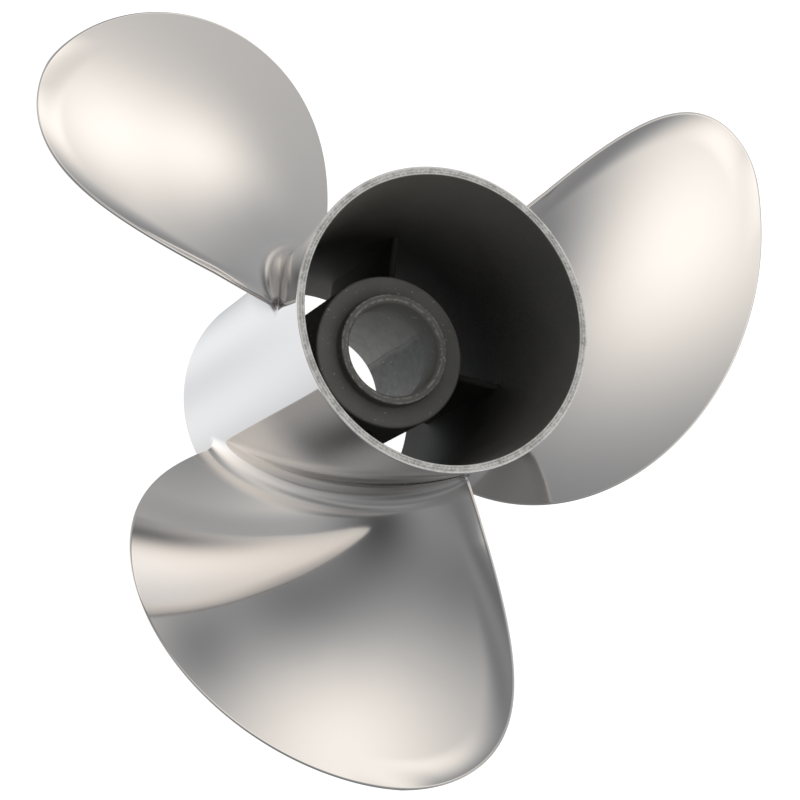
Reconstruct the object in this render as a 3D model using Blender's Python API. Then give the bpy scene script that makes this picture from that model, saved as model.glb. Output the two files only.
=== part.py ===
"""Three-blade outboard motor propeller with a through-hub exhaust, cast in stainless steel.

The shaft axis is Z and +Z points aft, to the side the water leaves. Lengths are in metres and
angles in degrees, counted from +X towards +Y. Heights are first measured from the barrel's front
face. The empty that carries every piece then lowers them by ORIGIN_HEIGHT, which puts the origin
on the shaft axis at the height of the centre of mass.
"""
import math

import bpy
import bmesh
import numpy as np

MM = 0.001
INCH = 0.0254

ORIGIN_HEIGHT = 79.1 * MM
GAP = 0.3 * MM

BARREL_LENGTH = 6.0 * INCH
BARREL_FRONT_R = 50.8 * MM
BARREL_RIM_R = 57.5 * MM
BARREL_FLARE_POWER = 2.6
BARREL_WALL = 2.6 * MM
RIM_ROUND = 0.7 * MM
BARREL_SEGMENTS = 80
BARREL_STEPS = 10

HUB_FRONT = 20.0 * MM
HUB_AFT = 99.0 * MM
HUB_R = 29.9 * MM
HUB_BORE_R = 26.3 * MM
HUB_COLLAR = 11.0 * MM
LIP_HEIGHT = 5.0 * MM
LIP_R = 21.7 * MM
MOUTH_R = 18.3 * MM
HUB_CHAMFER = 0.8 * MM
HUB_SEGMENTS = 56

RIB_COUNT = 4
RIB_THICKNESS = 3.0 * MM
RIB_FRONT = 22.0 * MM
RIB_AFT = 89.5 * MM

BLADE_COUNT = 3
TIP_R = 13.25 * INCH / 2
PITCH = 17.0 * INCH
TIP_PITCH_LOSS = 0.13
RAKE_ANGLE = 16.3
ROOT_MID_HEIGHT = 72.6 * MM
ROOT_MID_ANGLE = 139.2
SKEW_BACK = -11.3
SKEW_TIP = 28.3
ROOT_HALF_WIDTH = 41.5
OUTLINE_POWER = 1.94
OUTLINE_ROUND = 0.57
OUTLINE_END = 0.999
ROOT_THICKNESS = 9.0 * MM
TIP_THICKNESS = 2.6 * MM
THINNING_POWER = 1.2
EDGE_THICKNESS = 2.0 * MM
CUP_DEPTH = 1.8 * MM
CUP_WIDTH = 11.0 * MM
CUP_ROOT_FADE = 0.25
CUP_TIP_FADE = 0.12
ROOT_FILLET = 9.0 * MM
LEADING_FILLET = 4.5 * MM
TRAILING_FILLET = 2.0 * MM
FILLET_POWER = 4
FLARE_FADE_POWER = 4
FILLET_SWEEP = 70.0
FILLET_STEPS = 4
SPAN_STEPS = 15
CHORD_STEPS = 16
EDGE_STEPS = 2
FOOT_STEPS = 5

STEEL = ((0.72, 0.70, 0.67), 0.18, 1.0)
DARK_CAST = ((0.10, 0.10, 0.10), 0.65, 0.6)


def clear_scene():
    for obj in list(bpy.data.objects):
        bpy.data.objects.remove(obj, do_unlink=True)


def material(name, color, roughness, metallic):
    mat = bpy.data.materials.new(name)
    mat.use_nodes = True
    shader = mat.node_tree.nodes["Principled BSDF"]
    shader.inputs["Base Color"].default_value = (*color, 1.0)
    shader.inputs["Roughness"].default_value = roughness
    shader.inputs["Metallic"].default_value = metallic
    mat.diffuse_color = (*color, 1.0)
    return mat


def add_object(name, mesh, parent, finish, turn=0.0):
    mesh.materials.clear()
    mesh.materials.append(material(name + "_finish", *finish))
    obj = bpy.data.objects.new(name, mesh)
    obj.parent = parent
    obj.rotation_euler = (0.0, 0.0, math.radians(turn))
    bpy.context.scene.collection.objects.link(obj)
    return obj


def mesh_from_bmesh(name, bm):
    bmesh.ops.recalc_face_normals(bm, faces=bm.faces)
    mesh = bpy.data.meshes.new(name)
    bm.to_mesh(mesh)
    bm.free()
    mesh.shade_smooth()
    mesh.set_sharp_from_angle(angle=math.radians(35.0))
    return mesh


def turned(name, profile, segments):
    """Spin a closed outline of (radius, height) points once round the shaft axis."""
    bm = bmesh.new()
    points = [bm.verts.new((radius, 0.0, height)) for radius, height in profile]
    edges = [bm.edges.new((a, b)) for a, b in zip(points, points[1:] + points[:1])]
    bmesh.ops.spin(bm, geom=points + edges, cent=(0, 0, 0), axis=(0, 0, 1),
                   angle=2 * math.pi, steps=segments, use_merge=True)
    return mesh_from_bmesh(name, bm)


def barrel_outer(height):
    """Outer radius of the barrel: a slight taper that opens into a flare at the aft rim."""
    along = np.clip(height / BARREL_LENGTH, 0.0, 1.0)
    return BARREL_FRONT_R + (BARREL_RIM_R - BARREL_FRONT_R) * along ** BARREL_FLARE_POWER


def barrel_inner(height):
    """Inner radius of the barrel: the outer radius less the wall."""
    return barrel_outer(height) - BARREL_WALL


def barrel_mesh():
    """The barrel's wall, with both rims broken by a small bevel."""
    heights = np.linspace(RIM_ROUND, BARREL_LENGTH - RIM_ROUND, BARREL_STEPS + 1)
    outside = [(barrel_outer(h), h) for h in heights]
    inside = [(barrel_inner(h), h) for h in heights[::-1]]
    aft = [(barrel_outer(BARREL_LENGTH) - RIM_ROUND, BARREL_LENGTH),
           (barrel_inner(BARREL_LENGTH) + RIM_ROUND, BARREL_LENGTH)]
    front = [(barrel_inner(0.0) + RIM_ROUND, 0.0), (barrel_outer(0.0) - RIM_ROUND, 0.0)]
    return turned("barrel", outside + aft + inside + front, BARREL_SEGMENTS)


def hub_mesh():
    """The tube that takes the drive bushing, closed to a smaller mouth by a collar and lip."""
    lip = HUB_AFT + LIP_HEIGHT
    collar = HUB_AFT - HUB_COLLAR
    cut = HUB_CHAMFER
    profile = [(HUB_R, HUB_FRONT + cut), (HUB_R, HUB_AFT - cut), (HUB_R - cut, HUB_AFT),
               (LIP_R, HUB_AFT), (LIP_R, lip - cut), (LIP_R - cut, lip),
               (MOUTH_R + cut, lip), (MOUTH_R, lip - cut), (MOUTH_R, collar),
               (HUB_BORE_R - 2 * cut, collar), (HUB_BORE_R, collar - 2 * cut),
               (HUB_BORE_R, HUB_FRONT + cut), (HUB_BORE_R + cut, HUB_FRONT), (HUB_R - cut, HUB_FRONT)]
    return turned("inner_hub", profile, HUB_SEGMENTS)


def rib_mesh():
    """A flat web on +X, from the hub's outside to the barrel's tapered inside."""
    heights = np.linspace(RIB_FRONT, RIB_AFT, 5)
    outline = [(HUB_R + GAP, RIB_FRONT)]
    outline += [(barrel_inner(h) - GAP, h) for h in heights]
    outline += [(HUB_R + GAP, RIB_AFT)]
    bm = bmesh.new()
    side = [bm.verts.new((x, -RIB_THICKNESS / 2, z)) for x, z in outline]
    face = bm.faces.new(side)
    grown = bmesh.ops.extrude_face_region(bm, geom=[face])["geom"]
    moved = [item for item in grown if isinstance(item, bmesh.types.BMVert)]
    bmesh.ops.translate(bm, verts=moved, vec=(0.0, RIB_THICKNESS, 0.0))
    return mesh_from_bmesh("rib", bm)


def half_width(span):
    """Half of the blade's angular width: full at the root and rounded off to the tip."""
    closed = (span * OUTLINE_END) ** OUTLINE_POWER
    return ROOT_HALF_WIDTH * (1.0 - closed) ** OUTLINE_ROUND


def mid_angle(span):
    """Angle of the middle of the chord, which swings forward a little and then far back."""
    return ROOT_MID_ANGLE + SKEW_BACK * span + SKEW_TIP * span ** 2


def blade_pitch(span):
    """Advance of the helix in one turn, which falls off a little towards the tip."""
    return PITCH * (1.0 - TIP_PITCH_LOSS * span ** 2)


def mid_height(span):
    """Height of the middle of the chord: the helix at its angle, raised by the rake."""
    rise = blade_pitch(span) * (mid_angle(span) - ROOT_MID_ANGLE) / 360.0
    rake = math.tan(math.radians(RAKE_ANGLE)) * (TIP_R - BARREL_FRONT_R) * span
    return ROOT_MID_HEIGHT + rise + rake


def swelling(chord, span):
    """What the front face bulges past the edge's thickness: most in mid chord and at the root."""
    middle = TIP_THICKNESS + (ROOT_THICKNESS - TIP_THICKNESS) * (1.0 - span) ** THINNING_POWER
    return (middle - EDGE_THICKNESS) * (1.0 - chord ** 2)


def cup(chord, span, reach):
    """Curl of the trailing edge towards aft: a parabola over the last CUP_WIDTH of the chord.

    It fades out towards the root and the tip.
    """
    near = np.clip(1.0 - reach * (1.0 - chord) / CUP_WIDTH, 0.0, 1.0)
    fade = np.clip(span / CUP_ROOT_FADE, 0.0, 1.0) * np.clip((1.0 - span) / CUP_TIP_FADE, 0.0, 1.0)
    return CUP_DEPTH * near ** 2 * fade


def section_outline():
    """One section as rows: chord position, outward direction x and y, and 1 on the front face.

    The outline starts at the nose of the leading edge, runs over the aft face, round the trailing
    edge and back over the front face. The two faces follow the chord and the edges are half
    circles.
    """
    chord = np.sin(np.linspace(-0.5, 0.5, CHORD_STEPS + 1) * math.pi)
    flat = np.zeros(len(chord))
    turn = np.linspace(0, math.pi, 2 * EDGE_STEPS + 2)[1:-1]
    end = np.ones(len(turn))
    aft_face = np.stack([chord, flat, flat + 1, flat])
    trailing = np.stack([end, np.sin(turn), np.cos(turn), 0 * end])
    front_face = np.stack([chord[::-1], flat, flat - 1, flat + 1])
    leading = np.stack([-end, -np.sin(turn), np.cos(turn), 0 * end])[:, ::-1]
    return np.roll(np.concatenate([aft_face, trailing, front_face, leading], 1), EDGE_STEPS, 1)


def root_fillet(chord):
    """Radius of the fillet to the barrel: full in mid chord and small at the two edges."""
    edge = np.where(chord < 0, LEADING_FILLET, TRAILING_FILLET)
    return ROOT_FILLET + (edge - ROOT_FILLET) * chord ** FILLET_POWER


def blade_ring(radius, widen):
    """Place each point of the outline on the cylinder of its own radius.

    There, unrolled, x runs along the helix from the leading to the trailing edge and y stands
    square to it, towards aft. The fillet widens the section by widen all round. Near the barrel
    the points follow its flare.
    """
    chord, out_x, out_y, front = section_outline()
    span = (radius - BARREL_FRONT_R) / (TIP_R - BARREL_FRONT_R)
    climb = np.arctan2(blade_pitch(span), 2 * math.pi * radius)
    edge = EDGE_THICKNESS / 2
    reach = np.maximum(np.radians(half_width(span)) * radius / np.cos(climb) - edge, 0.0)
    x = chord * reach + out_x * (edge + widen)
    y = out_y * (edge + widen) - edge - front * swelling(chord, span) + cup(chord, span, reach)
    angle = np.radians(mid_angle(span)) + (x * np.cos(climb) - y * np.sin(climb)) / radius
    height = mid_height(span) + x * np.sin(climb) + y * np.cos(climb)
    follow = barrel_outer(height) + GAP - BARREL_FRONT_R
    near_barrel = np.clip(1.0 - span, 0.0, 1.0) ** FLARE_FADE_POWER
    return np.stack([radius + follow * near_barrel, angle, height], 1)


def blade_rings():
    """Sections from the foot on the barrel, up the fillet, and out to the tip."""
    fillet = root_fillet(section_outline()[0])
    sweep = np.radians(np.linspace(FILLET_SWEEP, 0.0, FILLET_STEPS + 1))
    rings = [blade_ring(BARREL_FRONT_R + 0 * fillet, fillet * (1.0 - math.cos(sweep[0])))]
    for turn in sweep:
        rise, widen = fillet * (1.0 - math.sin(turn)), fillet * (1.0 - math.cos(turn))
        rings.append(blade_ring(BARREL_FRONT_R + rise, widen))
    start = BARREL_FRONT_R + fillet
    for step in np.sin(np.linspace(0, math.pi / 2, SPAN_STEPS + 1)[1:]):
        rings.append(blade_ring(start + (TIP_R - start) * step, 0.0))
    return np.array(rings)


def to_xyz(points):
    radius, angle, height = np.moveaxis(points, -1, 0)
    return np.stack([radius * np.cos(angle), radius * np.sin(angle), height], -1)


def blade_mesh():
    """Bridge the sections, close the foot over the barrel's curve and close the tip."""
    rings = blade_rings()
    count = rings.shape[1]
    pairs = count // 2
    bm = bmesh.new()
    loops = [[bm.verts.new(point) for point in ring] for ring in to_xyz(rings)]
    for low, high in zip(loops, loops[1:]):
        for i in range(count):
            j = (i + 1) % count
            bm.faces.new((low[i], low[j], high[j], high[i]))
    foot = rings[0]
    across = [loops[0][:pairs]]
    for step in range(1, FOOT_STEPS):
        share = step / FOOT_STEPS
        row = foot[:pairs] * (1 - share) + foot[:pairs - 1 - count:-1] * share
        row[:, 0] = barrel_outer(row[:, 2]) + GAP
        across.append([bm.verts.new(point) for point in to_xyz(row)])
    across.append(loops[0][:pairs - 1 - count:-1])
    for end in (0, -1):
        bm.faces.new([row[end] for row in across])
    tip = [loops[-1][:pairs], loops[-1][:pairs - 1 - count:-1]]
    for columns in (across, tip):
        for one, two in zip(columns, columns[1:]):
            for i in range(pairs - 1):
                bm.faces.new((one[i], one[i + 1], two[i + 1], two[i]))
    return mesh_from_bmesh("blade", bm)


def main():
    clear_scene()
    carrier = bpy.data.objects.new("shaft_axis", None)
    carrier.location = (0.0, 0.0, -ORIGIN_HEIGHT)
    bpy.context.scene.collection.objects.link(carrier)
    add_object("barrel", barrel_mesh(), carrier, STEEL)
    add_object("inner_hub", hub_mesh(), carrier, DARK_CAST)
    rib = rib_mesh()
    for index in range(RIB_COUNT):
        add_object(f"rib_{index + 1}", rib.copy(), carrier, DARK_CAST, 360.0 / RIB_COUNT * index)
    blade = blade_mesh()
    for index in range(BLADE_COUNT):
        add_object(f"blade_{index + 1}", blade.copy(), carrier, STEEL, 360.0 / BLADE_COUNT * index)


main()
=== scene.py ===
# %% [markdown]
# A polished outboard propeller
#
# The real object is one stainless steel casting: a barrel that the exhaust leaves through, a small
# inner hub held by four ribs, and three wide blades. The packed solids already have the right
# places and sizes. This lesson gives them smooth skins, root fillets and finishes.

# %% Load the packed frame
import math

import bmesh
import bpy
import numpy as np
from mathutils import Matrix, Vector


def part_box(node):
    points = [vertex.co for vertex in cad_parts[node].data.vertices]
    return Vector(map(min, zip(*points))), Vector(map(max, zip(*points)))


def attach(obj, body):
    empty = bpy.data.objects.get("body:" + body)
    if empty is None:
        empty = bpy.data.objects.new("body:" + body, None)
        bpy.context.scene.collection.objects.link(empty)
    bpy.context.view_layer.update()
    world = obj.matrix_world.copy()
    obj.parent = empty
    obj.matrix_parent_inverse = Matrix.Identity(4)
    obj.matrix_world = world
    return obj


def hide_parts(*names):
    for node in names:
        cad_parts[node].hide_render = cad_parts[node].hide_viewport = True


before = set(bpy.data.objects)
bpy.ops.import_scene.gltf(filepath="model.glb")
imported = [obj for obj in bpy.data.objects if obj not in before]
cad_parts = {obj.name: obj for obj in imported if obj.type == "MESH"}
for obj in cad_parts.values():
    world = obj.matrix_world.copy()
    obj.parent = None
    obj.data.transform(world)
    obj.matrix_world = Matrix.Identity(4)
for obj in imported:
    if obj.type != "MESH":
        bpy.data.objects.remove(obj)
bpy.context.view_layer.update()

print("nodes:", sorted(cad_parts))

# %% [markdown]
# Every height below is first measured from the barrel's front face, as a drawing would, so one
# number moves them all into the frame.

# %% Units and datum
MM = 0.001
INCH = 0.0254
FRONT_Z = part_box("barrel")[0].z
print("the barrel's front face is at", round(FRONT_Z / MM, 1), "mm")

# %% [markdown]
# Every skin in this lesson is a grid of points, computed as whole arrays, because a loop over a
# hundred thousand points is slow in Python. One helper numbers the quads of such a grid, one turns
# cylinder coordinates into points, and one makes the mesh. Points that lie on each other are merged
# and faces are turned outwards, so each skin ends as one closed body.

# %% Mesh helpers
MERGE_DISTANCE = 1e-6


def merge_doubles(mesh):
    """Join points that lie on each other, and point every face outwards."""
    bm = bmesh.new()
    bm.from_mesh(mesh)
    bmesh.ops.remove_doubles(bm, verts=bm.verts, dist=MERGE_DISTANCE)
    bmesh.ops.recalc_face_normals(bm, faces=bm.faces)
    bm.to_mesh(mesh)
    bm.free()


def add_mesh(name, points, faces, sharp=40.0, finishes=None):
    """Make a mesh object from arrays of points and quads.

    Edges that turn by more than sharp degrees stay sharp, and finishes numbers each quad's material.
    """
    mesh = bpy.data.meshes.new(name)
    mesh.from_pydata(points.reshape(-1, 3).tolist(), [], faces.reshape(-1, 4).tolist())
    if finishes is not None:
        mesh.polygons.foreach_set("material_index", finishes.reshape(-1).astype(np.int32))
    piece = bpy.data.objects.new(name, mesh)
    bpy.context.scene.collection.objects.link(piece)
    merge_doubles(mesh)
    mesh.shade_smooth()
    mesh.set_sharp_from_angle(angle=math.radians(sharp))
    print(name, "has", len(mesh.polygons), "faces")
    return piece


def grid_faces(rows, columns, wrap_rows=False):
    """Quads between neighbours of a rows x columns grid whose columns close on themselves.

    The point in row i and column j has the number i * columns + j.
    """
    row = np.arange(rows if wrap_rows else rows - 1)[:, None]
    column = np.arange(columns)[None, :]
    below = row * columns
    above = (row + 1) % rows * columns
    beside = (column + 1) % columns
    return np.stack([below + column, below + beside, above + beside, above + column], -1)


def to_xyz(radius, angle, height):
    """Points in the frame: x = r cos a, y = r sin a, z = height above the barrel's front face."""
    return np.stack([radius * np.cos(angle), radius * np.sin(angle), height + FRONT_Z], -1)


print("a closed strip of 2 rows and 8 columns has", len(grid_faces(2, 8)[0]), "quads")

# %% [markdown]
# A turned piece is a closed outline of radius and height carried round the shaft, as on a lathe.
# Its corners are rounded first: each gives way to an arc that touches both of its sides. The same
# could be done with a Bevel modifier, but an outline lets each corner have its own radius.

# %% Turned pieces
CORNER_STEPS = 5
STRAIGHT = 1e-3
LONGEST_SHARE = 0.49


def rounded(corners):
    """Round the corners of a closed (radius, height, fillet) outline with tangent arcs.

    With h as half of the corner's angle, an arc starts fillet / tan h before the corner, and its
    centre lies fillet / sin h from it. An arc takes at most LONGEST_SHARE of each of its sides.
    """
    corners = np.asarray(corners)
    following = np.roll(corners, -1, 0)
    out = []
    for index, (*place, fillet) in enumerate(corners):
        here = np.array(place)
        before = corners[index - 1, :2] - here
        after = following[index, :2] - here
        before_len, after_len = np.linalg.norm(before), np.linalg.norm(after)
        before, after = before / before_len, after / after_len
        half = math.acos(float(np.clip(before @ after, -1, 1))) / 2
        if fillet <= 0 or abs(half - math.pi / 2) < STRAIGHT:
            out.append(here)
            continue
        back = min(fillet / math.tan(half), LONGEST_SHARE * before_len, LONGEST_SHARE * after_len)
        fillet = back * math.tan(half)
        centre = here + (before + after) / np.linalg.norm(before + after) * fillet / math.sin(half)
        start, end = here + before * back - centre, here + after * back - centre
        sweep = math.atan2(start[0] * end[1] - start[1] * end[0], start @ end)
        for turn in np.linspace(0, sweep, CORNER_STEPS):
            c, s = math.cos(turn), math.sin(turn)
            out.append(centre + (start[0] * c - start[1] * s, start[0] * s + start[1] * c))
    return np.array(out)


def turned(name, outline, segments, finish_of=None):
    """Carry a closed outline of (radius, height) round the axis: x = r cos a, y = r sin a.

    finish_of gives each stretch of the outline its material number from its two ends.
    """
    around = np.linspace(0, 2 * np.pi, segments, endpoint=False)
    radius = np.repeat(outline[:, :1], segments, 1)
    height = np.repeat(outline[:, 1:], segments, 1)
    points = to_xyz(radius, np.broadcast_to(around, radius.shape), height)
    finishes = None
    if finish_of is not None:
        stretch = finish_of(outline, np.roll(outline, -1, 0))
        finishes = np.repeat(stretch[:, None], segments, 1)
    return add_mesh(name, points, grid_faces(len(outline), segments, wrap_rows=True), finishes=finishes)


print("a rounded corner takes", CORNER_STEPS, "points")

# %% [markdown]
# The barrel tapers a little towards the front and flares at the aft rim, which keeps exhaust out
# of the blades. Its wall is thin, so the rim shows as a narrow bright ring round the dark inside.
# Three finishes meet on this one casting, so its faces are numbered by where the outline runs.

# %% Barrel
BARREL_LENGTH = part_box("barrel")[1].z - FRONT_Z
BARREL_FRONT_R = 50.8 * MM
BARREL_RIM_R = 57.5 * MM
BARREL_FLARE_POWER = 2.6
BARREL_WALL = 2.6 * MM
BARREL_STEPS = 90
BARREL_SEGMENTS = 320
RIM_BEAD = 0.6 * MM
RIM_BEAD_POWER = 8
RIM_CORNER = 0.5 * MM
END_CORNER = 0.6 * MM
END_MARGIN = 1.6 * MM
POLISHED, GROUND, AS_CAST = 0, 1, 2


def barrel_outer(height):
    """Outer radius: the front radius, plus the flare times the share of the length to a power."""
    along = np.clip(height / BARREL_LENGTH, 0.0, 1.0)
    return BARREL_FRONT_R + (BARREL_RIM_R - BARREL_FRONT_R) * along ** BARREL_FLARE_POWER


def barrel_inner(height):
    """Inner radius: the outer radius less the wall, which thickens to a slight bead at the rim."""
    along = np.clip(height / BARREL_LENGTH, 0.0, 1.0)
    return barrel_outer(height) - BARREL_WALL - RIM_BEAD * along ** RIM_BEAD_POWER


def barrel_outline():
    """The closed outline: up the outside, over the rim, down the inside and over the front."""
    heights = np.linspace(END_MARGIN, BARREL_LENGTH - END_MARGIN, BARREL_STEPS)
    outside = np.stack([barrel_outer(heights), heights, 0 * heights], -1)
    inside = np.stack([barrel_inner(heights), heights, 0 * heights], -1)[::-1]
    aft = [(barrel_outer(BARREL_LENGTH), BARREL_LENGTH, RIM_CORNER),
           (barrel_inner(BARREL_LENGTH), BARREL_LENGTH, END_CORNER)]
    front = [(barrel_inner(0.0), 0.0, END_CORNER), (barrel_outer(0.0), 0.0, END_CORNER)]
    return rounded(np.concatenate([outside, aft, inside, front]))


def barrel_finish(start, end):
    """Ground where the outline turns over an end, as cast on its way down, polished elsewhere."""
    across, along = (end - start).T
    over_an_end = np.abs(across) > np.abs(along)
    return np.where(over_an_end, GROUND, np.where(along < 0, AS_CAST, POLISHED))


barrel = turned("barrel_casting", barrel_outline(), BARREL_SEGMENTS, finish_of=barrel_finish)
print("the barrel is", round(BARREL_LENGTH / MM, 1), "mm long")

# %% [markdown]
# The inner hub takes the drive bushing from the front. At the aft end a collar closes it down to
# a smaller mouth with a raised lip, where the nut's washer bears. Cast corners are never sharp,
# so every corner of the outline gets its own small radius.

# %% Inner hub
HUB_FRONT = 20.0 * MM
HUB_AFT = 99.0 * MM
HUB_R = 29.9 * MM
HUB_BORE_R = 26.3 * MM
HUB_COLLAR = 11.0 * MM
HUB_SEGMENTS = 224
LIP_HEIGHT = 5.0 * MM
LIP_R = 21.7 * MM
MOUTH_R = 18.3 * MM
MOUTH_BEVEL = 1.1 * MM
CAST_CORNER = 0.8 * MM
AFT_CORNER = 1.0 * MM
LIP_CORNER = 0.7 * MM
WORN_CORNER = 0.3 * MM
BORE_CORNER = 1.6 * MM


def hub_outline():
    """The closed outline: up the outside, over the lip, down the mouth and out to the bore."""
    lip = HUB_AFT + LIP_HEIGHT
    collar = HUB_AFT - HUB_COLLAR
    return rounded([
        (HUB_R, HUB_FRONT, CAST_CORNER), (HUB_R, HUB_AFT, AFT_CORNER),
        (LIP_R, HUB_AFT, CAST_CORNER), (LIP_R, lip, LIP_CORNER),
        (MOUTH_R + MOUTH_BEVEL, lip, WORN_CORNER), (MOUTH_R, lip - MOUTH_BEVEL, WORN_CORNER),
        (MOUTH_R, collar, CAST_CORNER), (HUB_BORE_R, collar, BORE_CORNER),
        (HUB_BORE_R, HUB_FRONT, CAST_CORNER)])


hub = turned("inner_hub_casting", hub_outline(), HUB_SEGMENTS)

# %% [markdown]
# Each rib is a thin web. Where it meets the hub and the barrel a casting always has a hollow
# fillet, so the section is a strip that widens as a quarter circle at both ends. A stack of such
# sections makes the web, and a half round nose closes it at the front and at the back.

# %% Ribs
RIB_COUNT = 4
RIB_THICKNESS = 3.0 * MM
RIB_FRONT = 22.0 * MM
RIB_AFT = 89.5 * MM
RIB_FILLET = 0.7 * MM
RIB_OVERLAP = 0.4 * MM
RIB_SHARP = 50.0
NOSE_STEPS = 7
WEB_STEPS = 24
WEB_FILLET_STEPS = 8


def rib_heights():
    """Heights of the sections, and each one's share of the full thickness.

    Both noses are half round: height = r (1 - cos a) in from the end, and share = sin a.
    """
    nose = RIB_THICKNESS / 2
    angle = np.linspace(0, math.pi / 2, NOSE_STEPS)
    low = RIB_FRONT + nose * (1 - np.cos(angle))
    high = RIB_AFT - nose * (1 - np.cos(angle[::-1]))
    middle = np.linspace(low[-1], high[0], WEB_STEPS)[1:-1]
    share = np.concatenate([np.sin(angle), np.ones(middle.size), np.sin(angle[::-1])])
    return np.concatenate([low, middle, high]), share


def rib_rings():
    """Closed sections of the web, with x out along it and y square to it, there and back.

    At both ends of x the fillet f adds f (1 - cos a) to the half thickness, f (1 - sin a) from
    the end, for a from a right angle to 0.
    """
    heights, share = rib_heights()
    sweep = np.linspace(math.pi / 2, 0, WEB_FILLET_STEPS)
    grow = RIB_FILLET * (1 - np.cos(sweep))
    rise = RIB_FILLET * (1 - np.sin(sweep))
    outer = barrel_inner(heights)[:, None] + RIB_OVERLAP
    inner = HUB_R - RIB_OVERLAP + 0 * outer
    x = np.concatenate([inner + rise, outer - rise[::-1]], 1)
    y = RIB_THICKNESS / 2 * share[:, None] + np.concatenate([grow, grow[::-1]])
    x = np.concatenate([x, x[:, ::-1]], 1)
    y = np.concatenate([-y, y[:, ::-1]], 1)
    z = heights[:, None] + FRONT_Z + 0 * x
    rings = np.stack([x, y, z], -1)
    flat = rings[[0, -1]] * (1, 0, 1)
    return np.concatenate([flat[:1], rings, flat[1:]])


def turn_about_shaft(points, angle):
    """Turn points about the shaft: x becomes x cos a - y sin a, and y becomes x sin a + y cos a."""
    c, s = math.cos(angle), math.sin(angle)
    return points @ np.array([[c, s, 0], [-s, c, 0], [0, 0, 1]])


ribs = []
rib_points = rib_rings()
for index in range(RIB_COUNT):
    points = turn_about_shaft(rib_points, 2 * math.pi * index / RIB_COUNT)
    ribs.append(add_mesh(f"rib_web_{index + 1}", points, grid_faces(*points.shape[:2]), RIB_SHARP))

# %% [markdown]
# The blade's numbers are its design: diameter, pitch, rake and skew. A helix of constant pitch is
# the classic pressure face, and the laws below bend it. Each law is a short formula of the span,
# which is 0 where the blade leaves the barrel and 1 at the tip.

# %% Blade laws
BLADE_COUNT = 3
TIP_R = 13.25 * INCH / 2
BLADE_LENGTH = TIP_R - BARREL_FRONT_R
PITCH = 17.0 * INCH
TIP_PITCH_LOSS = 0.13
RAKE_ANGLE = 16.3
RAKE_RISE = math.tan(math.radians(RAKE_ANGLE)) * BLADE_LENGTH
ROOT_MID_HEIGHT = 72.6 * MM
ROOT_MID_ANGLE = 139.2
SKEW_BACK = -11.3
SKEW_TIP = 28.3
ROOT_HALF_WIDTH = 41.5
OUTLINE_POWER = 1.94
OUTLINE_ROUND = 0.57
ROOT_THICKNESS = 9.0 * MM
TIP_THICKNESS = 2.6 * MM
THICKNESS_POWER = 1.2


def blade_span(radius):
    """Span of a radius: its distance from the barrel over the blade's whole length."""
    return (radius - BARREL_FRONT_R) / BLADE_LENGTH


def half_width(span):
    """Half of the angular width: the root's half times (1 - span^p)^q."""
    return ROOT_HALF_WIDTH * np.clip(1.0 - span ** OUTLINE_POWER, 0.0, None) ** OUTLINE_ROUND


def mid_angle(span):
    """Angle of the chord's middle: a parabola that swings forward and then far back."""
    return ROOT_MID_ANGLE + SKEW_BACK * span + SKEW_TIP * span ** 2


def blade_pitch(span):
    """Pitch: the stated one, less a loss that grows with the square of the span."""
    return PITCH * (1.0 - TIP_PITCH_LOSS * span ** 2)


def mid_height(span):
    """Height of the chord's middle: pitch times its share of a turn, plus the rake."""
    rise = blade_pitch(span) * (mid_angle(span) - ROOT_MID_ANGLE) / 360.0
    return ROOT_MID_HEIGHT + rise + RAKE_RISE * span


def middle_thickness(span):
    """Thickness in mid chord: the tip's, plus the rest of the root's times (1 - span)^p."""
    return TIP_THICKNESS + (ROOT_THICKNESS - TIP_THICKNESS) * (1.0 - span) ** THICKNESS_POWER


print("a blade reaches", round(BLADE_LENGTH / MM, 1), "mm out of the barrel")

# %% [markdown]
# The edges are rounded by the distance to the blade's outline, so the tip is as round as the sides.
# Measuring that distance to a curve is slow, so it is estimated from a function that is 0 on the
# outline: its value over its slope. The hollow fillet at the root is widest in mid chord and small
# at both edges, as a foundry leaves it.

# %% Blade edges and root
EDGE_RADIUS = 0.8 * MM
ROOT_FILLET = 9.0 * MM
LEADING_FILLET = 4.5 * MM
TRAILING_FILLET = 3.5 * MM
FILLET_POWER = 4
SLOPE_STEP = 1e-4
LEAST_SLOPE = 1e-6


def edge_distance(chord, span, radius, climb):
    """Distance to the outline: g / |grad g| with g = half width squared less the offset squared."""
    half = half_width(span)
    offset = chord * half
    inwards = half_width(np.clip(span - SLOPE_STEP, 0, 1)) ** 2
    squared_change = half_width(np.clip(span, 0, 1)) ** 2 - inwards
    mid_change = SKEW_BACK + 2 * SKEW_TIP * span
    along_radius = (squared_change / SLOPE_STEP + 2 * offset * mid_change) / BLADE_LENGTH
    along_chord = 2 * offset * np.degrees(np.cos(climb) / radius)
    slope = np.maximum(np.hypot(along_radius, along_chord), LEAST_SLOPE)
    return (half ** 2 - offset ** 2) / slope


def root_fillet(chord):
    """Fillet radius: full in mid chord, falling with the chord's fourth power to each edge."""
    edge = np.where(chord < 0, LEADING_FILLET, TRAILING_FILLET)
    return ROOT_FILLET + (edge - ROOT_FILLET) * chord ** FILLET_POWER


edge_to_edge = root_fillet(np.array([-1.0, 0.0, 1.0]))
print("root fillet from leading to trailing edge:", (edge_to_edge / MM).round(1).tolist(), "mm")

# %% [markdown]
# The trailing edge curls up a little towards aft. Boat people call this the cup, and it shows as a
# dark line of reflection along the edge.

# %% Cup
CUP_DEPTH = 1.8 * MM
CUP_WIDTH = 11.0 * MM
CUP_CHANGE = 3 * CUP_WIDTH
CUP_ROOT_FADE = 0.25


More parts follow.
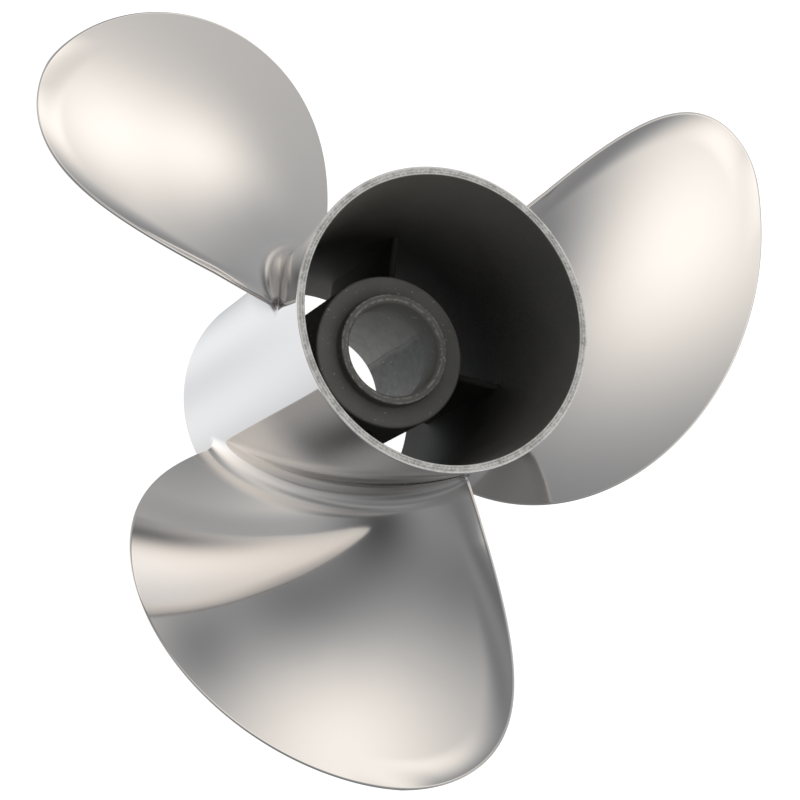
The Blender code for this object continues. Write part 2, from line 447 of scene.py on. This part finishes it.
def cup(away, x, span):
    """Curl towards aft: a parabola of the distance to the outline, on the trailing side only.

    The change from side to side is the smooth step t t (3 - 2 t), and the curl fades at the root.
    """
    near = np.clip(1.0 - away / CUP_WIDTH, 0.0, 1.0)
    trailing = np.clip(0.5 + x / CUP_CHANGE, 0.0, 1.0)
    trailing = trailing ** 2 * (3 - 2 * trailing)
    return CUP_DEPTH * near ** 2 * trailing * np.clip(span / CUP_ROOT_FADE, 0.0, 1.0)


full_cup = float(cup(0.0, CUP_CHANGE, 1.0))
print("the cup lifts the trailing edge by", round(full_cup / MM, 1), "mm")

# %% [markdown]
# A blade is a stack of closed sections. Each one is drawn on an unrolled cylinder, with x along
# the helix and y square to it, and then wrapped back round the shaft. A loft of curves would do
# as well, but here every section comes from the same laws at once, as one array.

# %% Blade sections
CHORD_STEPS = 96
FLARE_FADE_POWER = 4
LEAST_SIZE = 1e-9


def push_out(x, y, distance):
    """Move a closed curve along its own outward direction, taken from each point's neighbours."""
    dx = np.roll(x, -1, 1) - np.roll(x, 1, 1)
    dy = np.roll(y, -1, 1) - np.roll(y, 1, 1)
    size = np.maximum(np.hypot(dx, dy), LEAST_SIZE)
    return x - dy / size * distance, y + dx / size * distance


def blade_sections(chord, radius, widen):
    """Rings of (radius, angle, height), one row for each section.

    The first half of the chord positions runs along the aft face and the second half back along
    the front face. Unrolled, x runs along the helix and y square to it, towards aft. Wrapped back,
    the angle is the middle's plus (x cos c - y sin c) / r, and the height is the middle's plus
    x sin c + y cos c, where c is the climb of the helix.
    """
    span = blade_span(radius)
    climb = np.arctan2(blade_pitch(span), 2 * math.pi * radius)
    reach = np.radians(half_width(span)) * radius / np.cos(climb)
    away = edge_distance(chord, span, radius, climb)
    bluntness = np.clip(away / EDGE_RADIUS, 0.0, 1.0)
    edge = EDGE_RADIUS * np.sqrt(1 - (1 - bluntness) ** 2)
    swelling = (middle_thickness(span) - 2 * EDGE_RADIUS) * (1 - chord ** 2)
    on_aft = np.arange(chord.size) <= CHORD_STEPS
    x = chord * reach
    y = np.where(on_aft, edge - EDGE_RADIUS, -EDGE_RADIUS - edge - swelling) + cup(away, x, span)
    x, y = push_out(x, y, widen)
    angle = np.radians(mid_angle(span)) + (x * np.cos(climb) - y * np.sin(climb)) / radius
    height = mid_height(span) + x * np.sin(climb) + y * np.cos(climb)
    near_barrel = np.clip(1 - span, 0.0, 1.0) ** FLARE_FADE_POWER
    follow = (barrel_outer(height) - BARREL_FRONT_R) * near_barrel
    return np.stack([radius + follow, angle, height], -1)


print("a section has", 2 * CHORD_STEPS, "points")

# %% [markdown]
# The first sections widen towards the barrel in a quarter circle, the root's fillet. Below them
# the skin drops a little into the barrel's wall and folds shut there, out of sight, so the blade is
# closed. The sections draw closer towards the tip, where the outline turns fastest.

# %% Blades
SPAN_STEPS = 110
FILLET_STEPS = 14
ROOT_DROP = 0.6 * MM
FOLD_DEPTH = 1.2 * MM
BLADE_SHARP = 60.0


def blade_rings():
    """All sections: folded shut inside the barrel's wall, up the fillet, and out to the tip.

    The fillet f has its sections at f (1 - sin a), widened by f (1 - cos a), for a from a right
    angle to 0. The rest lie at the sine of even steps, and so do the points along the chord.
    """
    chord = np.sin(np.linspace(-0.5, 0.5, CHORD_STEPS + 1) * math.pi)
    chord = np.concatenate([chord, chord[-2:0:-1]])
    fillet = root_fillet(chord)
    sweep = np.linspace(math.pi / 2, 0, FILLET_STEPS + 1)[:, None]
    outward = np.sin(np.linspace(0, math.pi / 2, SPAN_STEPS + 1)[1:, None])
    start = BARREL_FRONT_R + fillet
    radius = np.concatenate([start - fillet * np.sin(sweep), start + (TIP_R - start) * outward])
    widen = np.concatenate([fillet * (1 - np.cos(sweep)), np.zeros((SPAN_STEPS, chord.size))])
    rings = blade_sections(chord, radius, widen)
    foot = rings[:1] - (ROOT_DROP, 0, 0)
    fold = (foot + np.roll(foot[:, ::-1], 1, 1)) / 2
    fold[..., 0] = barrel_outer(fold[..., 2]) - FOLD_DEPTH
    return np.concatenate([fold, foot, rings])


rings = blade_rings()
blades = []
for index in range(BLADE_COUNT):
    turn = 2 * math.pi * index / BLADE_COUNT
    points = to_xyz(rings[..., 0], rings[..., 1] + turn, rings[..., 2])
    faces = grid_faces(*points.shape[:2])
    blades.append(add_mesh(f"blade_casting_{index + 1}", points, faces, BLADE_SHARP))

# %% [markdown]
# Shader maths reads best as plain expressions, so a small class wraps one socket and turns each
# operator into a Math node. Every other node comes from one call that takes its type, then its
# settings, then what goes into its inputs.

# %% Shader helper
class Shade:
    """One output socket of a node tree, or a bare tree that nodes are added to."""

    def __init__(self, tree, socket=None):
        self.tree = tree
        self.socket = socket

    def node(self, kind, settings=None, **inputs):
        """Add a node; an input is named with _ for a space, or numbered as input_0."""
        made = self.tree.nodes.new(kind)
        for key, value in (settings or {}).items():
            setattr(made, key, value)
        for key, value in inputs.items():
            key = key.replace("_", " ")
            name, _, number = key.partition(" ")
            place = made.inputs[int(number)] if name == "input" else made.inputs[key]
            if isinstance(value, Shade):
                self.tree.links.new(value.socket, place)
            else:
                place.default_value = value
        return made

    def of(self, kind, settings=None, output=0, **inputs):
        """Add a node and hand back one of its outputs."""
        made = self.node(kind, settings, **inputs)
        return Shade(self.tree, made.outputs[output])

    def maths(self, operation, one, two=0.0):
        """Add a Math node that works on one and two."""
        return self.of("ShaderNodeMath", {"operation": operation}, input_0=one, input_1=two)

    def __add__(self, other):
        return self.maths("ADD", self, other)

    def __sub__(self, other):
        return self.maths("SUBTRACT", self, other)

    def __mul__(self, other):
        return self.maths("MULTIPLY", self, other)

    def __truediv__(self, other):
        return self.maths("DIVIDE", self, other)

    def __pow__(self, other):
        return self.maths("POWER", self, other)

    def __radd__(self, other):
        return self.maths("ADD", other, self)

    def __rsub__(self, other):
        return self.maths("SUBTRACT", other, self)

    def __rmul__(self, other):
        return self.maths("MULTIPLY", other, self)

    def dot(self, other):
        """Dot product of two vectors, as a number."""
        settings = {"operation": "DOT_PRODUCT"}
        return self.of("ShaderNodeVectorMath", settings, "Value", input_0=self, input_1=other)

    def shaft_radius(self):
        """Distance of a point from the shaft's axis: the length of (x, y, 0)."""
        flat = self.of("ShaderNodeVectorMath", {"operation": "MULTIPLY"}, input_0=self,
                       input_1=(1.0, 1.0, 0.0))
        return self.of("ShaderNodeVectorMath", {"operation": "LENGTH"}, "Value", input_0=flat)

    def height(self):
        """Height of a point above the barrel's front face."""
        return self.dot((0.0, 0.0, 1.0)) - FRONT_Z

    def ramp(self, low, high, kind="SMOOTHSTEP"):
        """A step from 0 at low to 1 at high, smooth unless kind is LINEAR."""
        settings = {"interpolation_type": kind}
        return self.of("ShaderNodeMapRange", settings, Value=self, From_Min=low, From_Max=high)

    def band(self, middle, half_width, soft):
        """1 within half_width of the middle, falling smoothly to 0 over soft."""
        away = self - middle
        away = away.maths("ABSOLUTE", away)
        return 1.0 - away.ramp(half_width, half_width + soft)

    def noise(self, scale, detail=2.0, roughness=0.5):
        """Cloudy noise round 0.5, with its scale counted in bumps a metre."""
        return self.of("ShaderNodeTexNoise", None, Vector=self, Scale=scale, Detail=detail,
                       Roughness=roughness)

    def mix(self, one, two):
        """A colour that goes from one to two as this value goes from 0 to 1."""
        made = self.node("ShaderNodeMix", {"data_type": "RGBA"}, input_0=self, input_6=one, input_7=two)
        return Shade(self.tree, made.outputs[2])

    def bump(self, distance):
        """A surface normal from this height, where 1 stands for the given distance."""
        return self.of("ShaderNodeBump", None, Strength=1.0, Distance=distance, Height=self)


print("operators:", [name for name in vars(Shade) if name.startswith("__r") or name == "__add__"])

# %% [markdown]
# A material starts as an empty tree with the point on the object, because every pattern here sits
# on the object's own coordinates and so stays put when the piece moves. It ends in one Principled
# shader. Numbers that are the same all over a surface go straight onto that shader's sockets.

# %% Start and close a finish
def new_finish(name):
    """An empty material, with the point on the object that its patterns read."""
    made = bpy.data.materials.new(name)
    made.use_nodes = True
    made.node_tree.nodes.clear()
    shade = Shade(made.node_tree)
    return made, shade, shade.of("ShaderNodeTexCoord", None, "Object")


def close_finish(made, shade, **inputs):
    """Close a material with one Principled shader that takes these inputs."""
    shader = shade.of("ShaderNodeBsdfPrincipled", None, **inputs)
    shade.node("ShaderNodeOutputMaterial", None, Surface=shader)
    print(made.name, "has", len(made.node_tree.nodes), "nodes")
    return made


print("materials before the finishes:", len(bpy.data.materials))

# %% [markdown]
# Mirror polish on stainless steel is a warm grey metal with little roughness. A buffing wheel
# leaves it just uneven: cloudy patches that are a touch duller, and waves too shallow to feel that
# make a reflection wander. Both come from noise on the object's own coordinates. The wheel can't
# reach the tight corner where a blade's trailing edge meets the barrel, so the metal stays rougher
# round that point, and its colour gets painted shade, a darker bluish grey. A little rough brown
# scale sits in the corner itself. The hollow fillets are polished with a small buffing wheel, which
# leaves them a shade softer: they are found by how far a point lies above the barrel's own curve.

# %% Polished steel
STEEL_COLOUR = (0.79, 0.765, 0.745, 1.0)
# Painted shade: the darker bluish grey that the corners at the trailing roots are given.
DULL_SHADE_COLOUR = (0.42, 0.42, 0.46, 1.0)
SCALE_COLOUR = (0.20, 0.155, 0.125, 1.0)
DULL_SHADE_REACH = (1.5 * MM, 4.5 * MM)
SCALE_REACH = (1.5 * MM, 3.2 * MM)
SCALE_RAGGED = 3.0 * MM
FILLET_BAND = (5.0 * MM, 3.0 * MM, 1.8 * MM)
TRAILING_ROOT_HEIGHT = ROOT_MID_HEIGHT + PITCH * ROOT_HALF_WIDTH / 360.0


def trailing_roots():
    """The points where the blades' trailing edges meet the barrel."""
    radius = barrel_outer(TRAILING_ROOT_HEIGHT)
    turns = np.radians(ROOT_MID_ANGLE + ROOT_HALF_WIDTH + 360.0 / BLADE_COUNT * np.arange(BLADE_COUNT))
    return to_xyz(radius, turns, np.full(BLADE_COUNT, TRAILING_ROOT_HEIGHT))


def near_points(place, points):
    """Distance to the nearest of a few points: the least of the distances to each."""
    settings = {"operation": "DISTANCE"}
    away = [place.of("ShaderNodeVectorMath", settings, "Value", input_0=place, input_1=point)
            for point in points.tolist()]
    nearest = away[0]
    for other in away[1:]:
        nearest = nearest.maths("MINIMUM", nearest, other)
    return nearest


def above_barrel(place):
    """Distance of a point outside the barrel's curve: its radius less the barrel's at its height."""
    along = place.height().ramp(0.0, BARREL_LENGTH, "LINEAR")
    flare = (BARREL_RIM_R - BARREL_FRONT_R) * along ** BARREL_FLARE_POWER
    return place.shaft_radius() - BARREL_FRONT_R - flare


def polished_steel():
    """Roughness is a low base plus clouds, haze, softer fillets, rougher corners and scale; the corners
    also get painted shade.
    """
    made, shade, place = new_finish("polished_steel_finish")
    cloud = place.noise(22.0, 3.0)
    haze = place.noise(420.0, 2.0)
    waves = place.noise(34.0, 1.0)
    lumps = place.noise(600.0, 3.0, 0.7)
    corner = near_points(place, trailing_roots())
    dull_shade = 1.0 - corner.ramp(*DULL_SHADE_REACH)
    hollow = above_barrel(place).band(*FILLET_BAND)
    ragged = corner + SCALE_RAGGED * (lumps - 0.5)
    scale = (1.0 - ragged.ramp(*SCALE_REACH)) * lumps.ramp(0.4, 0.55)
    roughness = 0.03 + 0.045 * cloud + 0.025 * haze + 0.12 * hollow + 0.12 * dull_shade + 0.2 * scale
    # Painted shade: round the trailing roots the colour goes to a darker bluish grey.
    steel_and_shade = dull_shade.mix(STEEL_COLOUR, DULL_SHADE_COLOUR)
    return close_finish(made, shade, Base_Color=scale.mix(steel_and_shade, SCALE_COLOUR),
                        Metallic=1.0 - 0.6 * scale, Roughness=roughness,
                        Normal=(waves * 0.05 + lumps * scale * 0.5).bump(1.0 * MM))


steel_finish = polished_steel()

# %% [markdown]
# The rim has been faced by a grinder, so it is paler and rougher than the polished skin, with
# small pits and fine scratches round the ring. Both corners carry a painted highlight, a near white
# line, as the buffing wheel leaves them bright. The scratches are noise of the radius alone, so they run
# with the ring.

# %% Ground rim
GROUND_PIT = (0.42, 0.42, 0.40, 1.0)
GROUND_BRIGHT = (1.0, 0.99, 0.965, 1.0)
# Painted highlight: near white lines on the rim's outer and inner corners.
OUTER_HIGHLIGHT = (BARREL_RIM_R - 1.0 * MM, BARREL_RIM_R - 0.7 * MM)
INNER_HIGHLIGHT = (BARREL_RIM_R - 3.0 * MM, 0.25 * MM, 0.3 * MM)


def ground_rim():
    """The tone is the brighter of the speckle and of the painted highlight on the rim's two corners."""
    made, shade, place = new_finish("ground_rim_finish")
    grain = place.noise(1100.0, 3.0, 0.7)
    patch = place.noise(240.0, 2.0)
    radius = place.shaft_radius()
    scratches = shade.of("ShaderNodeTexNoise", {"noise_dimensions": "1D"}, W=radius, Scale=2200.0)
    speckle = (0.45 * grain + 0.3 * patch + 0.25 * scratches).ramp(0.38, 0.60)
    # Painted highlight on both corners, which are also less metallic and smoother.
    corner = radius.ramp(*OUTER_HIGHLIGHT)
    corner = corner.maths("MAXIMUM", corner, 0.6 * radius.band(*INNER_HIGHLIGHT))
    worn_highlight = corner * (0.6 + 0.4 * patch.ramp(0.35, 0.5))
    tone = speckle.maths("MAXIMUM", 0.8 * speckle, worn_highlight)
    return close_finish(made, shade, Base_Color=tone.mix(GROUND_PIT, GROUND_BRIGHT),
                        Metallic=0.35 - 0.35 * corner, Roughness=0.55 - 0.2 * corner,
                        Normal=grain.bump(0.10 * MM))


rim_finish = ground_rim()

# %% [markdown]
# Inside, nobody polishes: the casting keeps a matt, nearly black skin from its heat and its bath.
# Painted light makes the skin greyer towards the mouth, where the light falls in, and deep inside
# it makes one side paler than the other, which gets painted shade: its patches are held down.
# Noise lifts the black in patches, and a fine grain roughens it.

# %% Dark casting
CAST_BLACK = (0.019, 0.019, 0.0165, 1.0)
CAST_GREY = (0.195, 0.190, 0.176, 1.0)
# Painted light: deep inside, the side that faces this angle is painted paler.
LIT_SIDE = math.radians(102.0)
# Painted light grows over this stretch towards the mouth.
MOUTH_LIGHT_STRETCH = (0.5 * BARREL_LENGTH, BARREL_LENGTH)
DEEP_STRETCH = (0.3 * BARREL_LENGTH, 0.55 * BARREL_LENGTH)


def dark_casting():
    """The tone is painted light towards the mouth, plus patches, plus painted light on one side deep
    inside.
    """
    made, shade, place = new_finish("dark_casting_finish")
    patch = place.noise(38.0, 4.0)
    grain = place.noise(1500.0, 3.0, 0.6)
    # Painted light towards the mouth, and painted light and shade on the two sides deep inside.
    mouth_light = place.height().ramp(*MOUTH_LIGHT_STRETCH)
    deep = 1.0 - place.height().ramp(*DEEP_STRETCH)
    side = place.dot((math.cos(LIT_SIDE), math.sin(LIT_SIDE), 0.0)) / BARREL_FRONT_R
    uneven = (0.7 * patch + 0.3 * grain).ramp(0.3, 0.7)
    uneven = uneven * (1.0 - deep * (1.0 - side.ramp(-0.9, 0.4)))
    tone = 0.85 * mouth_light + 0.15 * uneven + 0.45 * deep * side.ramp(0.2, 0.9)
    return close_finish(made, shade, Base_Color=tone.mix(CAST_BLACK, CAST_GREY),
                        Roughness=0.5 + 0.2 * grain, Specular_IOR_Level=0.12,
                        Normal=grain.bump(0.06 * MM))


cast_finish = dark_casting()

# %% [markdown]
# The inner hub is a lighter, machined grey. Its aft face is smooth with a few bright grains, and
# the two corners of the lip show wear, with a painted highlight broken into a speckled line. The
# bore is coarser, and a parting seam runs down it with a darker side, painted shade where the mouth's wall
# keeps the light off, and a lighter side.

# %% Hub casting
HUB_BLACK = (0.0, 0.0, 0.0, 1.0)
HUB_BRIGHT = (1.0, 0.985, 0.93, 1.0)
SEAM_ANGLE = math.radians(42.0)
SEAM_WANDER = 3.0 * MM
SEAM_LINE = (0.0, 0.15 * MM, 0.4 * MM)
# Painted shade on the bore past the seam, where the mouth's wall keeps the light off.
SHADE_STEP = (-3.0 * MM, 1.0 * MM)
# Painted highlight along the two corners of the lip.
WORN_LIP_HIGHLIGHT = (LIP_R - 0.5 * MM, 0.15 * MM, 0.35 * MM)
WORN_MOUTH_HIGHLIGHT = (MOUTH_R + MOUTH_BEVEL, 0.2 * MM, 0.4 * MM)
WORN_HIGHLIGHT_HEIGHT = (HUB_AFT + 1.0 * MM, HUB_AFT + 3.0 * MM)


def bore_tone(place):
    """How much lighter or darker the bore is: blotches, less the painted shade past the seam and less the
    seam.
    """
    beside_seam = place.dot((-math.sin(SEAM_ANGLE), math.cos(SEAM_ANGLE), 0.0))
    past_axis = place.dot((math.cos(SEAM_ANGLE), math.sin(SEAM_ANGLE), 0.0)).ramp(0.0, HUB_BORE_R)
    wander = beside_seam + SEAM_WANDER * (place.noise(90.0, 3.0) - 0.5)
    # Painted shade on one side of the bore.
    shaded_side = (1.0 - wander.ramp(*SHADE_STEP)) * past_axis * past_axis
    seam = wander.band(*SEAM_LINE) * past_axis
    blotch = place.noise(280.0, 4.0, 0.65).ramp(0.35, 0.65)
    return 1.12 + 0.25 * blotch - 0.95 * shaded_side - 0.45 * seam


def hub_casting():
    """The tone is an even grey, scaled inside the bore, plus a painted highlight on the lip's corners and
    bright grains.
    """
    made, shade, place = new_finish("hub_casting_finish")
    radius, height = place.shaft_radius(), place.height()
    grain = place.noise(1300.0, 3.0, 0.6)
    uneven = (0.6 * place.noise(60.0, 3.0) + 0.4 * grain).ramp(0.35, 0.7)
    in_bore = 1.0 - height.ramp(HUB_AFT - HUB_COLLAR, HUB_AFT)
    tone = (0.20 + 0.05 * uneven) * (1.0 + in_bore * (bore_tone(place) - 1.0))

    # Painted highlight on the lip's corners, broken up by noise.
    worn_highlight = (radius.band(*WORN_LIP_HIGHLIGHT) + radius.band(*WORN_MOUTH_HIGHLIGHT)) * height.ramp(*WORN_HIGHLIGHT_HEIGHT)
    worn_highlight = worn_highlight * place.noise(700.0, 2.0).ramp(0.42, 0.62)
    specks = place.noise(520.0, 1.0).ramp(0.715, 0.76)
    light = worn_highlight.maths("MAXIMUM", worn_highlight * 0.5, specks * 0.6)
    colour = (tone + light * 0.45).mix(HUB_BLACK, HUB_BRIGHT)
    return close_finish(made, shade, Base_Color=colour, Roughness=0.45 + 0.2 * grain,
                        Normal=grain.bump(0.05 * MM))


hub_finish = hub_casting()

# %% [markdown]
# Each piece now takes its finish and the body that it rides on, and the CAD node that it stands in
# for is hidden. The barrel has three finishes, numbered when its faces were made.

# %% Dress the frame
def dress(piece, node, slot, *finishes):
    """Give a piece its materials, hang it on the root body and hide the CAD node that it stands in for."""
    for finish in finishes:
        piece.data.materials.append(finish)
    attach(piece, "root")
    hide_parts(node)


dress(barrel, "barrel", "polished_steel", steel_finish, rim_finish, cast_finish)
dress(hub, "inner_hub", "dark_cast", hub_finish)
for number, piece in enumerate(ribs, 1):
    dress(piece, f"rib_{number}", "dark_cast", cast_finish)
for number, piece in enumerate(blades, 1):
    dress(piece, f"blade_{number}", "polished_steel", steel_finish)
print("dressed", 2 + len(ribs) + len(blades), "pieces")

# %% [markdown]
# The camera looks down on the open aft end from one side, about a metre away, with a long lens and
# a strong roll. A Track To constraint would aim it in one line, but leaves no room for the roll.

# %% Camera
CAMERA_AZIMUTH = -50.09
CAMERA_ELEVATION = 64.08
CAMERA_ROLL = 60.86
CAMERA_TARGET = Vector((14.53 * MM, -11.26 * MM, FRONT_Z + 78.3 * MM))
CAMERA_DISTANCE = 1.004
CAMERA_LENS = 115.97
CAMERA_SENSOR = 36.0


def add_camera():
    """Stand back from the target along one direction, and roll right and up about it.

    With roll q, right becomes right cos q + up sin q, and up becomes up cos q - right sin q.
    """
    turn, lift, roll = (math.radians(a) for a in (CAMERA_AZIMUTH, CAMERA_ELEVATION, CAMERA_ROLL))
    back = Vector((math.sin(turn) * math.cos(lift), -math.cos(turn) * math.cos(lift), math.sin(lift)))
    right = Vector((0, 0, 1)).cross(back).normalized()
    up = back.cross(right)
    right, up = (right * math.cos(roll) + up * math.sin(roll), up * math.cos(roll) - right * math.sin(roll))
    data = bpy.data.cameras.new("camera")
    data.lens = CAMERA_LENS
    data.sensor_width = CAMERA_SENSOR
    camera = bpy.data.objects.new("camera", data)
    turned_to = Matrix((right, up, back)).transposed().to_4x4()
    camera.matrix_world = Matrix.Translation(CAMERA_TARGET + back * CAMERA_DISTANCE) @ turned_to
    bpy.context.scene.collection.objects.link(camera)
    bpy.context.scene.camera = camera


add_camera()
print("camera at", [round(value, 3) for value in bpy.context.scene.camera.matrix_world.translation])

# %% [markdown]
# The floor is plain white paper. It glows, as paper does on a light table, so the camera sees
# white inside the openings too. Reflections don't see it: the steel mirrors a tent that goes on
# below the table's edge, and that tent comes next. A dome of the same white stands round the floor
# for views from low down. Only the camera sees the dome, so it lights nothing.

# %% Floor and backdrop
STAGE_HALF = 6.0
DOME_R = 5.8
DOME_RINGS = 12
DOME_SEGMENTS = 48
FLOOR_TONE = 0.3
DOME_TONE = 0.0


def white_paper(name, base):
    """Paper that glows pure white, with a base tone for the light that falls on it."""
    made, shade, _ = new_finish(name)
    return close_finish(made, shade, Base_Color=(base, base, base, 1.0), Roughness=0.9,
                        Emission_Color=(1.0, 1.0, 1.0, 1.0), Emission_Strength=1.0)


def add_floor():
    """One square at the height of the barrel's front face, on which the part stands."""
    corners = [(-STAGE_HALF, -STAGE_HALF, 0), (STAGE_HALF, -STAGE_HALF, 0),
               (STAGE_HALF, STAGE_HALF, 0), (-STAGE_HALF, STAGE_HALF, 0)]
    data = bpy.data.meshes.new("floor")
    data.from_pydata(corners, [], [(0, 1, 2, 3)])
    floor = bpy.data.objects.new("floor", data)
    floor.location = (0, 0, FRONT_Z)
    bpy.context.scene.collection.objects.link(floor)
    data.materials.append(white_paper("floor_paper", FLOOR_TONE))
    floor.visible_glossy = False


def add_backdrop():
    """A dome of rings: r = R cos e and height = R sin e, for e from 0 to a right angle."""
    lift = np.linspace(0, np.pi / 2, DOME_RINGS)[:, None]
    around = np.linspace(0, 2 * np.pi, DOME_SEGMENTS, endpoint=False)[None, :]
    points = to_xyz(DOME_R * np.cos(lift), around, DOME_R * np.sin(lift) + 0 * around)
    dome = add_mesh("backdrop", points, grid_faces(DOME_RINGS, DOME_SEGMENTS))
    dome.data.materials.append(white_paper("backdrop_paper", DOME_TONE))
    dome.visible_glossy = False
    dome.visible_diffuse = False
    dome.visible_shadow = False


add_floor()
add_backdrop()
print("the floor is", 2 * STAGE_HALF, "m wide")

# %% [markdown]
# Polished steel shows nothing but its surroundings, so the light is half of the finish. The tent
# is drawn in the world: an even glow that grows upwards, with soft lobes of light and of shade.
# A lobe is strength * exp((d . c - 1) / spread^2 - m (d . n)^2): a round spot about the direction
# c, which the squeeze m narrows to an upright strip about the plane with the normal n. Area lamps
# and black flags would do much the same, but a lobe has a soft edge and adds no noise. The lobes of the
# table stop at its far edge, a little above the horizon, where the open side of the tent begins.
# Lamps behind cloth are a little warmer than the cloth's own shade, so the colour follows the
# radiance. The table glows with a cooler light from below.

# %% Light tent
TENT_GLOW = 0.77
TENT_RISE = 0.41
TABLE_EDGE = (0.01, 0.12)
LAMP_TONES = (0.15, 0.95)
COOL_SHADE = (0.97, 1.0, 1.035, 1.0)
WARM_LIGHT = (1.035, 1.0, 0.955, 1.0)
COOL_TABLE = (-0.95, -0.4)

# azimuth from +X and elevation in degrees, spread in degrees, squeeze, strength
TENT_LOBES = {
    "strip_light_upper": (51, 12, 8, 14.3, 0.71),
    "strip_light_lower": (42, -4, 9, 8.9, 0.64),
    "right_softbox": (-44, 46, 18, 0.0, 1.28),
    "left_softbox": (119, 42, 11, 0.3, 1.25),
    "open_side": (-135, 27, 69, 0.9, -0.72),
    "dark_curtain": (146, 17, 11, 1.2, -0.36),
    "curtain_foot": (156, 10, 8, 0.0, -0.21),
    "curtain_side": (182, 16, 9, 0.4, -0.24),
    "left_flag": (120, 35, 12, 0.0, -1.10),
    "far_flag": (165, 37, 12, 3.6, -0.30),
    "right_flag": (-36, 44, 42, 2.2, -0.81),
    "far_shade": (100, 30, 5, 0.0, -0.25),
    "strip_light_frame": (62, 13, 6, 0.1, -0.72),
    "right_corner": (-74, 3, 16, 0.0, -0.36),
    "left_corner": (123, -26, 10, 0.0, -0.65),
    "lower_corner": (95, -19, 26, 1.0, -0.37),
    "corner_shade": (74, -23, 8, 0.0, -0.22),
}
TABLE_LOBES = {
    "table_glow": (153, -54, 30, 0.0, 1.36),
    "table_bounce": (-140, -34, 13, 0.0, 0.53),
    "table_shade": (150, -61, 9, 0.0, -0.56),
}


def tent_lobe(direction, azimuth, elevation, spread, squeeze, strength):
    """Radiance of one lobe: strength * exp((d . c - 1) / spread^2 - squeeze (d . n)^2)."""
    turn, lift = math.radians(azimuth), math.radians(elevation)
    centre = (math.cos(lift) * math.cos(turn), math.cos(lift) * math.sin(turn), math.sin(lift))
    beside = (-math.sin(turn), math.cos(turn), 0.0)
    power = (direction.dot(centre) - 1.0) / math.radians(spread) ** 2
    if squeeze:
        power = power - squeeze * direction.dot(beside) ** 2.0
    return strength * power.maths("EXPONENT", power)


def add_tent():
    """Radiance is the glow plus the rise times the upward part of the direction, plus the lobes."""
    world = bpy.data.worlds.new("light_tent")
    bpy.context.scene.world = world
    world.use_nodes = True
    world.node_tree.nodes.clear()
    shade = Shade(world.node_tree)
    direction = shade.of("ShaderNodeTexCoord", None, "Generated")
    upward = direction.dot((0.0, 0.0, 1.0))
    radiance = TENT_GLOW + TENT_RISE * upward
    for lobe in TENT_LOBES.values():
        radiance = radiance + tent_lobe(direction, *lobe)
    table = 1.0 - upward.ramp(*TABLE_EDGE)
    for lobe in TABLE_LOBES.values():
        radiance = radiance + table * tent_lobe(direction, *lobe)
    radiance = radiance.maths("MAXIMUM", radiance, 0.0)
    lamp = radiance.ramp(*LAMP_TONES) * upward.ramp(*COOL_TABLE)
    glow = shade.of("ShaderNodeBackground", None, Color=lamp.mix(COOL_SHADE, WARM_LIGHT),
                    Strength=radiance)
    shade.node("ShaderNodeOutputWorld", None, Surface=glow)


add_tent()
bpy.context.scene.view_settings.view_transform = "Standard"
print("the tent has", len(TENT_LOBES) + len(TABLE_LOBES), "lobes")

# %% [markdown]
